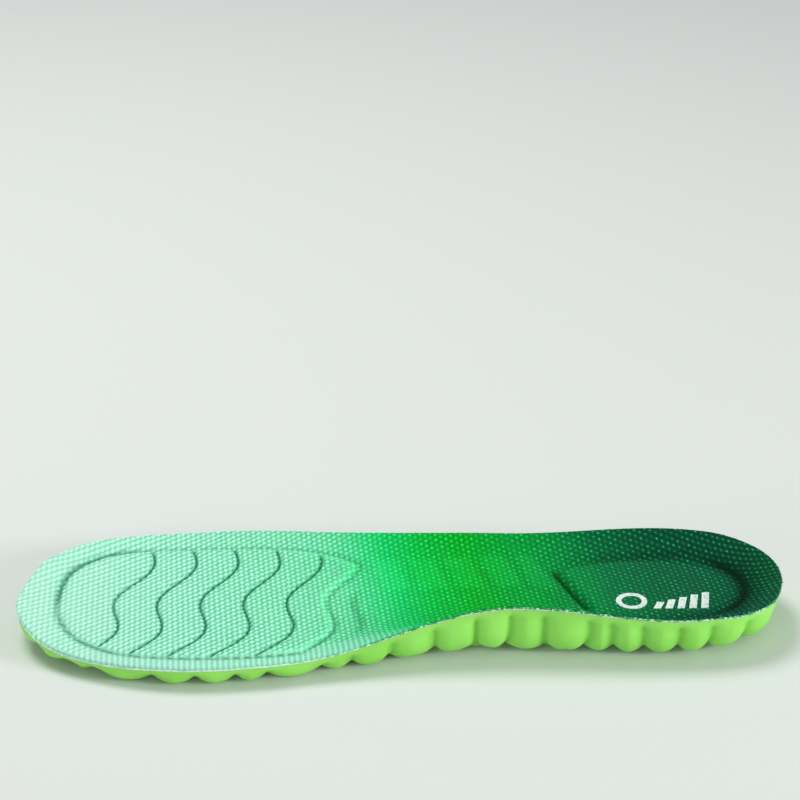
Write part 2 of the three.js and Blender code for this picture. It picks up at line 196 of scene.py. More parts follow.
def mix(a, b, share):
    """The value that lies a share of the way from a to b."""
    return a + (b - a) * share


def profile(pairs, station):
    """Height at a station: each span is eased from one value to the next."""
    at, values = np.array(pairs, float).T
    span = np.clip(np.searchsorted(at, station, side="right") - 1, 0, len(at) - 2)
    return mix(values[span], values[span + 1], smoothstep(station, at[span], at[span + 1]))


def outline(station):
    """Closed curve through the plan points: between two points it is the cubic whose slope at each
    point is half the step between that point's neighbours."""
    points = np.array([HEEL_TIP, *ARCH_SIDE, TOE_TIP, *OUTER_SIDE[::-1]], float)
    start = np.floor(station).astype(int)
    f = (station - start)[:, None]
    p0, p1, p2, p3 = (points[(start + k) % len(points)] for k in (-1, 0, 1, 2))
    cubic = 2 * p1 + (p2 - p0) * f + (2 * p0 - 5 * p1 + 4 * p2 - p3) * f**2
    return 0.5 * (cubic + (3 * p1 - p0 - 3 * p2 + p3) * f**3)


def half_of_stations(step):
    """Stations from heel tip to toe tip whose points lie about a step apart, with the step given
    for each span."""
    ends = outline(np.arange(2 * STATIONS, dtype=float))
    chords = np.linalg.norm(np.roll(ends, -1, axis=0) - ends, axis=1)
    longest = np.maximum(chords[:STATIONS], chords[::-1][:STATIONS])
    counts = np.ceil(longest / step).astype(int)
    return np.concatenate([span + np.arange(n) / n for span, n in enumerate(counts)])


def whole_rim(step):
    """Stations round the whole rim, matched in pairs across the middle line."""
    half = half_of_stations(step)
    return np.concatenate([half, [STATIONS], 2 * STATIONS - half[:0:-1]])


class Rays:
    """Rays from the rim to the middle line, where opposite rays share their inner end."""

    def __init__(self, stations):
        partner = np.minimum(stations, 2 * STATIONS - stations)
        inner = np.clip(partner, HEEL_STATION, TOE_STATION)
        self.rim = outline(stations)
        self.middle = (outline(inner) + outline(2 * STATIONS - inner)) / 2
        self.reach = np.linalg.norm(self.rim - self.middle, axis=1)
        self.inward = (self.middle - self.rim) / self.reach[:, None]
        on_arch_side = stations <= STATIONS
        u = self.rim[:, 0]
        self.height = np.where(on_arch_side, profile(ARCH_RIM, u), profile(OUTER_RIM, u))


# ======== Maths of the foot bed ========
def toe_lift(u):
    """Height by which the toe end springs up: it grows with the square of the way to the tip."""
    share = np.clip((u - TOE_SPRING_START) / (PLAN_LENGTH - TOE_SPRING_START), 0, None)
    return TOE_SPRING * share**2


def oval_inset(u, v, middle, reach, power):
    """Distance inside a squarish oval: the sum of the powers of the shares each way is 1 on it."""
    along = np.abs((u - middle[0]) / reach[0])
    across = np.abs((v - middle[1]) / reach[1])
    return (1 - (along**power + across**power) ** (1 / power)) * reach[1]


def heel_pad_inset(u, v):
    """Distances inside the border of the heel pad, inside the oval that it is cut from, and behind
    the slanting line that cuts the oval off in front."""
    oval = oval_inset(u, v, *HEEL_PAD)
    ahead = HEEL_PAD_FACING[0] * (u - HEEL_PAD_FRONT[0])
    front = -(ahead + HEEL_PAD_FACING[1] * (v - HEEL_PAD_FRONT[1]))
    return np.minimum(oval, front), oval, front


def wave_line(index, v):
    """Where a wave groove lies along the foot: a leaning line with a sine on it, which sweeps
    forward with the square of the distance towards the arch side."""
    swing = WAVE_SWING * np.cos(2 * np.pi * (v - WAVE_CREST) / WAVE_LENGTH)
    sweep = WAVE_SWEEP * np.clip(v - WAVE_SWEEP_START, 0, None) ** 2
    return WAVE_MIDDLE + WAVE_PITCH * index + WAVE_LEAN * v + swing + sweep


def wave_distance(index, u, v):
    """Distance from a wave groove, the gap along the foot shortened by the line's slope."""
    turn = 2 * np.pi / WAVE_LENGTH
    slope = WAVE_LEAN - WAVE_SWING * turn * np.sin(turn * (v - WAVE_CREST))
    return (u - wave_line(index, v)) / np.sqrt(1 + slope**2)


def forefoot_pad_inset(u, v):
    """Distance inside the raised pad under the forefoot: a rounded oval that a wave ends behind."""
    return np.minimum(oval_inset(u, v, *FOREFOOT_PAD), wave_distance(FOREFOOT_PAD_END, u, v))


def knit_phase(x, y):
    """Phases of the knit along and across its own grain, which is turned against the insole's
    length and whose rows close up evenly towards the heel."""
    y = y * (1 + KNIT_CLOSING * (x + 70))
    along = x * math.cos(KNIT_TURN) + y * math.sin(KNIT_TURN)
    across = -x * math.sin(KNIT_TURN) + y * math.cos(KNIT_TURN)
    return 2 * np.pi * along / KNIT_COLUMN, 2 * np.pi * across / KNIT_ROW


def knit_relief(along, across, x):
    """Height of the knit: the product of the phases' cosines, leaned over by that of their sines,
    with columns twice as close added, and its low places, the holes, sunk deeper."""
    slant = LOOP_SLANT[0] + LOOP_SLANT[1] * x
    crossed = np.cos(along) * np.cos(across) + slant * np.sin(along) * np.sin(across)
    weave = CROSSED_SHARE * crossed + COLUMN_SHARE * np.cos(2 * along)
    return KNIT_RELIEF * (weave - 0.6 * smoothstep(-weave, 0.2, 0.7))


def cloth_phase(rays, share, height):
    """Phases of the knit on the bed: the cloth lies as far out on its ray as the bed is long."""
    run = np.hypot(np.diff(share, axis=0) * rays.reach, np.diff(height, axis=0))
    arc = np.concatenate([np.zeros((1, len(rays.reach))), np.cumsum(run, axis=0)])
    flat = rays.middle[None] - rays.inward[None] * arc[..., None]
    place = to_frame(flat[..., 0], flat[..., 1], 0 * arc)
    return knit_phase(place[..., 0], place[..., 1])


def bed(rays, shares, detail=True):
    """Top of the cover on a grid of shares by rays: a cup that rises late towards the rim, eased
    onto a flat heel pad, with pads, grooves and bars added, and its edge rolled down."""
    share = np.asarray(shares, float)[:, None]
    plan = mix(rays.middle[None], rays.rim[None], share[..., None])
    u, v = plan[..., 0], plan[..., 1]
    base = mix(HEEL_BED, FOREFOOT_BED, smoothstep(u, *BED_FALL))
    cup = base + (rays.height - base) * share**CUP_POWER
    pad_inset, pad_oval, pad_front = heel_pad_inset(u, v)
    height = mix(cup, HEEL_PAD_TOP, smoothstep(pad_inset, 0, 2.5))
    phases = cloth_phase(rays, share, height)
    from_edge = (1 - share) * rays.reach
    roll_share = np.clip(from_edge / EDGE_ROLL_WIDTH, 0, 1)
    height = height - EDGE_ROLL * (1 - np.sqrt(1 - (1 - roll_share) ** 2))
    marks = {}
    if detail:
        inland = smoothstep(from_edge, 2, 6)
        height, marks = emboss(u, v, height, pad_oval, pad_front, from_edge, inland, phases)
    return u, v, height + toe_lift(u), marks


def ridge(distance, half_width):
    """A bell curve over distance, 1 on the line."""
    return np.exp(-((distance / half_width) ** 2))


def heel_marks(u, pad_oval, pad_front, inland, ragged):
    """Round the heel pad, each a bell curve over the distance from its border: a groove along the
    front and in a crescent behind, a softer one along the sides, and a band of shade outside it."""
    front = ridge(pad_front + 0.9 + ragged, 1.15) * smoothstep(pad_oval, -2, 1.5)
    crescent = ridge(pad_oval + 0.7, 1.2) * smoothstep(u, 28, 17) * inland
    side = ridge(pad_oval + 1.6, 1.5) * smoothstep(pad_front, -2, 1) * inland
    side = side * smoothstep(u, 24, 38)
    shade = smoothstep(pad_oval, -7, -1.5) * smoothstep(pad_oval, 0.6, -1) * smoothstep(u, 74, 60)
    return np.maximum(front, crescent), side, shade


def wave_marks(u, v, fore_inset, ragged):
    """The waves inside the forefoot pad, each a narrow bell curve in a wide and soft one."""
    waves = np.zeros_like(u)
    dents = np.zeros_like(u)
    clip = smoothstep(fore_inset, -0.4, 1.6)
    for index in range(-2, WAVE_COUNT - 2):
        distance = wave_distance(index, u, v)
        waves = np.maximum(waves, ridge(distance + ragged, WAVE_HALF_WIDTH) * clip)
        dents = np.maximum(dents, ridge(distance, DENT_HALF_WIDTH) * clip)
    return waves, dents


def arch_bars(u, v, pad_front):
    """The soft bars over the arch: leaning eased bands that stop short of the heel pad."""
    bars = np.zeros_like(u)
    off_middle = v - ARCH_BAR_ACROSS
    for index in range(ARCH_BARS):
        lean = u - ARCH_BAR_FRONT + ARCH_BAR_PITCH * index + ARCH_BAR_LEAN * off_middle
        bar = smoothstep(np.abs(lean), 6.2, 3.4) * smoothstep(np.abs(off_middle), 13, 8)
        bars = np.maximum(bars, bar * smoothstep(pad_front, -3, -6))
    return bars


def emboss(u, v, height, pad_oval, pad_front, from_edge, inland, phases):
    """Adds what the heated press leaves in the cover: the heel pad's grooves, the forefoot pad with
    its waves, and the soft bars over the arch. Grooves are ragged by the loops that they cross.
    Marks say where painted shade lies in and beside the grooves, where the cloth is pressed, and where
    proud places get a painted highlight, from 0 to 1, and carry the knit."""
    ragged = 0.16 * np.cos(phases[1])
    heel_groove, side_groove, heel_shade = heel_marks(u, pad_oval, pad_front, inland, ragged)
    fore_inset = forefoot_pad_inset(u, v)
    waves, dents = wave_marks(u, v, fore_inset, ragged)
    bars = arch_bars(u, v, pad_front)
    # The forefoot pad rises inside its border, with a groove round it that is sharp at the toe and, on
    # the arch side, traced by stitches of painted shade. A softer step lies behind it, and painted shade
    # lies along the groove and the step.
    inside = smoothstep(fore_inset, -0.6, 2.2)
    rim_groove = ridge(fore_inset + 0.9, 1.0) * smoothstep(u, 138, 150)
    toe_end = smoothstep(u, 222, 240) * smoothstep(v, 14, 2)
    toe_groove = ridge(fore_inset + 0.8 + ragged, 0.55) * toe_end
    stitches = smoothstep(np.cos(phases[0]) * np.cos(phases[1]), -0.5, 0.6)
    near_line = ridge(fore_inset + 0.6, 0.6) * smoothstep(v, 6, 20) * stitches
    step = ridge(wave_distance(STEP_WAVE, u, v), 1.5) * smoothstep(v, -8, 4) * smoothstep(v, 30, 22)
    height = height + FOREFOOT_PAD_RISE * inside + ARCH_BAR_RISE * bars
    height = height - WAVE_DEPTH * waves - DENT_DEPTH * dents
    height = height - RIM_GROOVE_DEPTH * rim_groove - SOFT_GROOVE_DEPTH * (toe_groove + side_groove)
    height = height - HEEL_GROOVE_DEPTH * heel_groove - SOFT_GROOVE_DEPTH * step
    # Proud of the rest, and given a painted highlight: the pads' banks and the bars. Pressed flat: a
    # band along the arch side rim.
    rear_bank = ridge(fore_inset - 0.9, 1.4) * smoothstep(u, 190, 165)
    heel_pad = smoothstep(pad_oval, 0, 2) * smoothstep(pad_front, 0, 2)
    near_rim = smoothstep(from_edge, 8.0, 5.5) * smoothstep(u, 125, 150) * (1 - inside)
    # groove and shade say where the cloth gets painted shade; proud_highlight where it gets a painted
    # highlight.
    marks = {
        "groove": np.clip(waves + heel_groove + 0.85 * toe_groove + 0.9 * near_line, 0, 1),
        "shade": np.clip(0.8 * rim_groove + 0.9 * step + 0.85 * heel_shade, 0, 1),
        "pressed": near_rim * smoothstep(v, -6, 14) * smoothstep(u, 252, 232),
        "proud_highlight": np.clip(0.4 * bars + 0.7 * rear_bank + 0.3 * heel_pad, 0, 1),
        "knit_along": phases[0],
        "knit_across": phases[1],
    }
    return height, marks


# ======== Maths of the pebbles ========
def pebble_field(u, v):
    """Distance to the nearest groove, with the crown's half width and power of the pebble there.
    A pebble owns the ground nearest to its circles, so grooves lie where two are equally near."""
    nearest = np.full(u.shape, np.inf)
    second = np.full(u.shape, np.inf)
    crown = np.zeros(u.shape)
    flat = np.zeros(u.shape)
    for pebble in PEBBLES:
        own = np.full(u.shape, np.inf)
        for cu, cv, radius in pebble:
            own = np.minimum(own, np.hypot(u - cu, v - cv) - radius)
        biggest = max(radius for _, _, radius in pebble)
        is_flat = biggest >= FLAT_PEBBLE
        closer = own < nearest
        second = np.minimum(second, np.maximum(nearest, own))
        nearest = np.minimum(nearest, own)
        crown = np.where(closer, 3.6 if is_flat else max(3.4, biggest * 1.05), crown)
        flat = np.where(closer, float(is_flat), flat)
    return (second - nearest) / 2, crown, flat


def groove_depth(u, v):
    """How far the foam lies under its crowns: the crown's power curve of the distance to the
    nearest groove, with that distance eased so that the groove's bottom is round."""
    distance, crown, flat = pebble_field(u, v)
    eased = np.hypot(distance, GROOVE_RADIUS) - GROOVE_RADIUS
    share = np.clip(eased / crown, 0, 1)
    return GROOVE_DEPTH * (1 - share) ** mix(2.1, 2.8, flat)


def foam_side(rays, turn, share):
    """Foam from the rim, turn 0, round a squarish quarter ellipse to the foot of the wall, turn 1,
    and on by share to the middle line, sunk square to that surface by the groove depth."""
    rim_u = rays.rim[:, 0]
    height = rays.height - EDGE_ROLL - FOAM_DROP
    rounding = np.minimum(profile(WALL_ROUNDING, rim_u), rays.reach)
    turn = np.asarray(turn, float)[:, None]
    share = np.asarray(share, float)[:, None]
    cosine = np.clip(np.cos(turn * np.pi / 2), 0, 1)
    sine = np.sin(turn * np.pi / 2)
    corner = rounding * (1 - cosine ** (2 / WALL_POWER))
    inset = corner - WALL_BULGE * 2 * sine * cosine + share * (rays.reach - rounding)
    level = height * (1 - sine ** (2 / WALL_POWER))
    plan = rays.rim[None] + rays.inward[None] * inset[..., None]
    run_out = smoothstep(height - level, 0, np.minimum(PLAIN_BAND, height * PLAIN_SHARE))
    depth = groove_depth(plan[..., 0], plan[..., 1]) * run_out
    plan = plan + rays.inward[None] * (depth * cosine)[..., None]
    u, v = plan[..., 0], plan[..., 1]
    return u, v, level + depth * sine + toe_lift(u), depth


# ======== From plan to frame ========
cover_low, cover_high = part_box("mesh_cover")
plan_points = outline(np.arange(0, 2 * STATIONS, 0.01))
LENGTHWISE = (cover_high.x - cover_low.x) / MM / np.ptp(plan_points[:, 0])
CROSSWISE = (cover_high.y - cover_low.y) / MM / np.ptp(plan_points[:, 1])
HEEL_X = cover_high.x / MM + plan_points[:, 0].min() * LENGTHWISE
MIDDLE_Y = cover_high.y / MM + plan_points[:, 1].min() * CROSSWISE


def to_frame(u, v, z):
    """Plan (u, v) and height to the frame's millimetres: the toe points to -X, the arch to -Y."""
    return np.stack([HEEL_X - u * LENGTHWISE, MIDDLE_Y - v * CROSSWISE, z], axis=-1)


# ======== Meshes ========
def grid_triangles(rows, columns, closed=True):
    """Two triangles for each cell of a grid whose columns run round and close on themselves."""
    cells = columns if closed else columns - 1
    r, c = np.meshgrid(np.arange(rows - 1), np.arange(cells), indexing="ij")
    a = (r * columns + c).ravel()
    b = (r * columns + (c + 1) % columns).ravel()
    d, e = a + columns, b + columns
    return np.concatenate([np.stack([a, b, e], 1), np.stack([a, e, d], 1)])


def weld(corners, triangles, values=None):
    """Corners that fall on one point become one, and triangles that lose a corner are dropped."""
    key = np.round(corners / 2e-4).astype(np.int64)
    _, first, owner = np.unique(key, axis=0, return_index=True, return_inverse=True)
    triangles = owner.reshape(-1)[triangles]
    a, b, c = triangles.T
    kept = triangles[(a != b) & (b != c) & (c != a)]
    values = {name: value[first] for name, value in (values or {}).items()}
    return corners[first], kept, values


def make_piece(name, corners, triangles, values=None):
    """A mesh object from arrays in millimetres, with a float attribute for each named value."""
    corners, triangles, values = weld(corners, triangles, values)
    mesh = bpy.data.meshes.new(name)
    mesh.vertices.add(len(corners))
    mesh.vertices.foreach_set("co", (corners * MM).astype(np.float32).ravel())
    mesh.loops.add(triangles.size)
    mesh.loops.foreach_set("vertex_index", triangles.astype(np.int32).ravel())
    mesh.polygons.add(len(triangles))
    mesh.polygons.foreach_set("loop_start", np.arange(0, triangles.size, 3, dtype=np.int32))
    mesh.update(calc_edges=True)
    mesh.polygons.foreach_set("use_smooth", np.ones(len(triangles), bool))
    for key, value in values.items():
        layer = mesh.attributes.new(key, "FLOAT", "POINT")
        layer.data.foreach_set("value", value.astype(np.float32))
    piece = bpy.data.objects.new(name, mesh)
    bpy.context.scene.collection.objects.link(piece)
    return piece


def stack_rings(*parts):
    """Grids with the same columns laid end to end, as one array of corners."""
    return np.concatenate([part.reshape(-1, part.shape[-1]) for part in parts])


def bed_shell(name, step, shares_top, shares_bottom, drop, thickness, detail, overhang=0.0):
    """Closed sheet that follows the foot bed: the top from the middle line to the rim, the edge,
    and the underside back to the middle line, with the rim pushed out by the overhang. With detail
    the top carries the press marks and the knit's relief, which fades out at the edge."""
    rays = Rays(whole_rim(step))
    rays.rim = rays.rim - rays.inward * overhang
    rays.reach = rays.reach + overhang
    u, v, z, marks = bed(rays, shares_top, detail)
    z = z - drop
    top = to_frame(u, v, z)
    if detail:
        edge_fade = smoothstep((1 - np.asarray(shares_top))[:, None] * rays.reach, 0, 2.0)
        relief = knit_relief(marks["knit_along"], marks["knit_across"], top[..., 0])
        top[..., 2] += relief * edge_fade * (1 - 0.7 * marks["groove"])
    lu, lv, lz, _ = bed(rays, shares_bottom, detail)
    bottom = to_frame(lu, lv, lz - drop - thickness)
    corners = stack_rings(top, bottom)
    rows = len(shares_top) + len(shares_bottom)
    values = {
        key: np.concatenate([value.ravel(), np.tile(value[-1], len(shares_bottom))])
        for key, value in marks.items()
    }
    return make_piece(name, corners, grid_triangles(rows, len(rays.rim)), values)


def spaced_shares(reach, step):
    """Shares of a ray's reach from the middle line to the rim: rows a step apart, then at these
    distances in millimetres from the rim."""
    edge = np.array([2.4, 1.8, 1.3, 0.9, 0.55, 0.28, 0.1, 0]) / reach
    inner = np.linspace(0, 1 - edge[0], int(reach / step))[:-1]
    return np.concatenate([inner, 1 - edge])


def foam_blank():
    """The foam as it would be without perforations: top under the film, wall and pebbles."""
    rays = Rays(whole_rim(FOAM_STEP))
    tu, tv, tz, _ = bed(rays, (0, 0.3, 0.55, 0.75, 0.88, 0.96, 1), detail=False)
    turns = np.linspace(0, 1, 30)[1:]
    wu, wv, wz, wall_depth = foam_side(rays, turns, np.zeros(len(turns)))
    shares = np.linspace(0, 1, 66)[1:]
    bu, bv, bz, base_depth = foam_side(rays, np.ones(len(shares)), shares)
    top = to_frame(tu, tv, tz - FOAM_DROP)
    corners = stack_rings(top, to_frame(wu, wv, wz), to_frame(bu, bv, bz))
    depth = np.concatenate([np.zeros(tu.size), wall_depth.ravel(), base_depth.ravel()])
    rows = 7 + len(turns) + len(shares)
    triangles = grid_triangles(rows, len(rays.rim))
    return make_piece("foam_moulding", corners, triangles, {"groove": depth / GROOVE_DEPTH})


def perforation_centres():
    """Plan points of the holes: on each pad, columns a pitch apart, each centred on the pad's
    tilted middle line."""
    centres = []
    for middle, columns, pitch, tilt in PERFORATED_PADS:
        turn = math.radians(tilt)
        for column, count in enumerate(columns):
            along = (column - (len(columns) - 1) / 2) * pitch[0]
            for row in range(count):
                across = (row - (count - 1) / 2) * pitch[1]
                u = middle[0] + along * math.cos(turn) - across * math.sin(turn)
                v = middle[1] + along * math.sin(turn) + across * math.cos(turn)
                centres.append((u, v))
    return np.array(centres)


def pins(sides=20):
    """All the moulding pins as one mesh of closed upright prisms, longer than the foam is thick."""
    centres = perforation_centres()
    angle = np.arange(sides) * 2 * np.pi / sides
    circle = np.stack([np.cos(angle), np.sin(angle)], 1) * PERFORATION_DIAMETER / 2
    middle = to_frame(centres[:, 0], centres[:, 1], np.zeros(len(centres)))[:, None, :2]
    ring = middle + circle[None]
    low = np.concatenate([ring, np.full(ring.shape[:2] + (1,), PIN_SPAN[0])], 2)
    high = np.concatenate([ring, np.full(ring.shape[:2] + (1,), PIN_SPAN[1])], 2)
    foot = np.concatenate([middle, np.full((len(middle), 1, 1), PIN_SPAN[0])], 2)
    head = np.concatenate([middle, np.full((len(middle), 1, 1), PIN_SPAN[1])], 2)
    corners = np.concatenate([low, high, foot, head], axis=1)
    k = np.arange(sides)
    n = (k + 1) % sides
    side = np.concatenate([np.stack([k, n, n + sides], 1), np.stack([k, n + sides, k + sides], 1)])
    ends = np.concatenate([
        np.stack([n, k, np.full(sides, 2 * sides)], 1),
        np.stack([k + sides, n + sides, np.full(sides, 2 * sides + 1)], 1),
    ])
    one = np.concatenate([side, ends])
    offsets = np.arange(len(middle))[:, None, None] * corners.shape[1]
    return make_piece("moulding_pins", corners.reshape(-1, 3), (one[None] + offsets).reshape(-1, 3))


def apply_modifiers(piece):
    """Gives the piece the mesh that its modifiers make."""
    graph = bpy.context.evaluated_depsgraph_get()
    finished = bpy.data.meshes.new_from_object(piece.evaluated_get(graph))
    piece.modifiers.clear()
    piece.data = finished


def face_out(piece):
    """Turns a closed mesh so that its faces point outwards."""
    mesh = piece.data
    corners = np.empty(len(mesh.vertices) * 3, np.float32)
    mesh.vertices.foreach_get("co", corners)
    corners = corners.reshape(-1, 3).astype(float)
    mesh.calc_loop_triangles()
    index = np.empty(len(mesh.loop_triangles) * 3, np.int32)
    mesh.loop_triangles.foreach_get("vertices", index)
    a, b, c = (corners[index.reshape(-1, 3)[:, k]] for k in range(3))
    if np.einsum("ij,ij->", a, np.cross(b, c)) < 0:
        mesh.flip_normals()


# ======== Materials ========
# Sizes of the finishes' patterns in millimetres. Filaments, plies, the foam's mould grain and the
# print's pinpricks are two to ten times finer on the real thing than would show, so each of them is
# drawn as coarse as it needs to show.
DYE_WANDER = 18.18  # patches by which the printed fade wanders
LOOP_PATCH = 1.923  # groups of loops that catch the light together
YARN_PLY = 0.7692
YARN_FILAMENT = 0.3846
FOAM_CLOUD = 26.32
FOAM_FLOW = 7.143
FOAM_GRAIN = 1.111
FILM_CLOUD = 3.333
YARN_TUFT = 0.909
PRINT_PRICK = 0.6667
FADE_TURN = 0.13  # how far the fade runs aslant: metres along the foot for each metre across it
FADE_WANDER = 0.006  # metres by which it wanders
FADE_START = 0.003  # metres by which it starts behind the heel tip

# Settings that nodes share.
EASED = {"interpolation_type": "SMOOTHSTEP"}
TIMES = {"operation": "MULTIPLY"}
TIMES_PLUS = {"operation": "MULTIPLY_ADD"}
BLEND = {"data_type": "RGBA", "blend_type": "MIX"}
STAIN = {"data_type": "RGBA", "blend_type": "MULTIPLY"}
GLOW = {"data_type": "RGBA", "blend_type": "ADD"}

# Printed colours of the cover from heel tip to toe tip, at shares of the length.
FADE = [
    (0.0, "#0f5a36"), (0.07, "#08503a"), (0.16, "#075738"), (0.22, "#046a3d"), (0.27, "#048a40"),
    (0.33, "#04a23c"), (0.40, "#04b02a"), (0.46, "#06c248"), (0.505, "#1cd26e"),
    (0.535, "#45dc8c"), (0.58, "#78e4ae"), (0.65, "#93ebc0"), (0.78, "#a6efd0"), (1.0, "#b9f2d8"),
]


def linear(hex_colour):
    """An sRGB hex colour as linear red, green, blue and alpha."""
    srgb = [int(hex_colour[i:i + 2], 16) / 255 for i in (1, 3, 5)]
    return tuple(c / 12.92 if c <= 0.04045 else ((c + 0.055) / 1.055) ** 2.4 for c in srgb) + (1.0,)


def add_node(tree, kind, inputs=(), out=0, **settings):
    """Adds a shader node, sets its properties, and gives its inputs, in order or by name, a value or
    another node's output. Returns the output asked for, or the node itself where out is None."""
    node = tree.nodes.new("ShaderNode" + kind)
    for name, value in settings.items():
        setattr(node, name, value)
    sockets = inputs.items() if isinstance(inputs, dict) else enumerate(inputs)
    for socket, value in sockets:
        if isinstance(value, bpy.types.NodeSocket):
            tree.links.new(value, node.inputs[socket])
        else:
            node.inputs[socket].default_value = value
    return node if out is None else node.outputs[out]


def new_material(name, **finish):
    """A material with one Principled shader, whose inputs are set by name, underscores for spaces."""
    material = bpy.data.materials.new(name)
    material.use_nodes = True
    tree = material.node_tree
    tree.nodes.clear()
    inputs = {key.replace("_", " "): value for key, value in finish.items()}
    shader = add_node(tree, "BsdfPrincipled", inputs, None)
    add_node(tree, "OutputMaterial", {"Surface": shader.outputs["BSDF"]}, None)
    return material, tree, shader


def printed_fade(tree, place, x, y):
    """Colour of the dye: the fade over the length, read a little aslant and shifted by a noise."""
    scale = 1 / (DYE_WANDER * MM)
    wander = add_node(tree, "TexNoise", {"Vector": place, "Scale": scale, "Detail": 2.0})
    turned = add_node(tree, "Math", (y, FADE_TURN, x), **TIMES_PLUS)
    soft = add_node(tree, "Math", (wander, FADE_WANDER, turned), **TIMES_PLUS)
    share = add_node(tree, "MapRange", (soft, cover_high.x + FADE_START, cover_low.x + FADE_START))
    ramp = add_node(tree, "ValToRGB", (share,), None)
    elements = ramp.color_ramp.elements
    elements.remove(elements[1])
    elements[0].color = linear(FADE[0][1])
    for position, colour in FADE[1:]:
        elements.new(position).color = linear(colour)
    return ramp.outputs["Color"]


def knit_weave(tree, x):
    """How far the cloth stands up, as in knit_relief, from the phases that the mesh carries: the
    product of their cosines, leaned over by that of their sines, with columns twice as close added.
    The second output is those columns alone."""
    along = add_node(tree, "Attribute", out="Fac", attribute_name="knit_along")
    across = add_node(tree, "Attribute", out="Fac", attribute_name="knit_across")
    cosines = [add_node(tree, "Math", (phase,), operation="COSINE") for phase in (along, across)]
    sines = [add_node(tree, "Math", (phase,), operation="SINE") for phase in (along, across)]
    straight = add_node(tree, "Math", cosines, **TIMES)
    lean = add_node(tree, "Math", sines, **TIMES)
    slant = add_node(tree, "Math", (x, LOOP_SLANT[1] / MM, LOOP_SLANT[0]), **TIMES_PLUS)
    crossed = add_node(tree, "Math", (lean, slant, straight), **TIMES_PLUS)
    doubled = add_node(tree, "Math", (along, 2.0), **TIMES)
    columns = add_node(tree, "Math", (doubled,), operation="COSINE")
    low = add_node(tree, "Math", (columns, COLUMN_SHARE), **TIMES)
    return add_node(tree, "Math", (crossed, CROSSED_SHARE, low), **TIMES_PLUS), columns


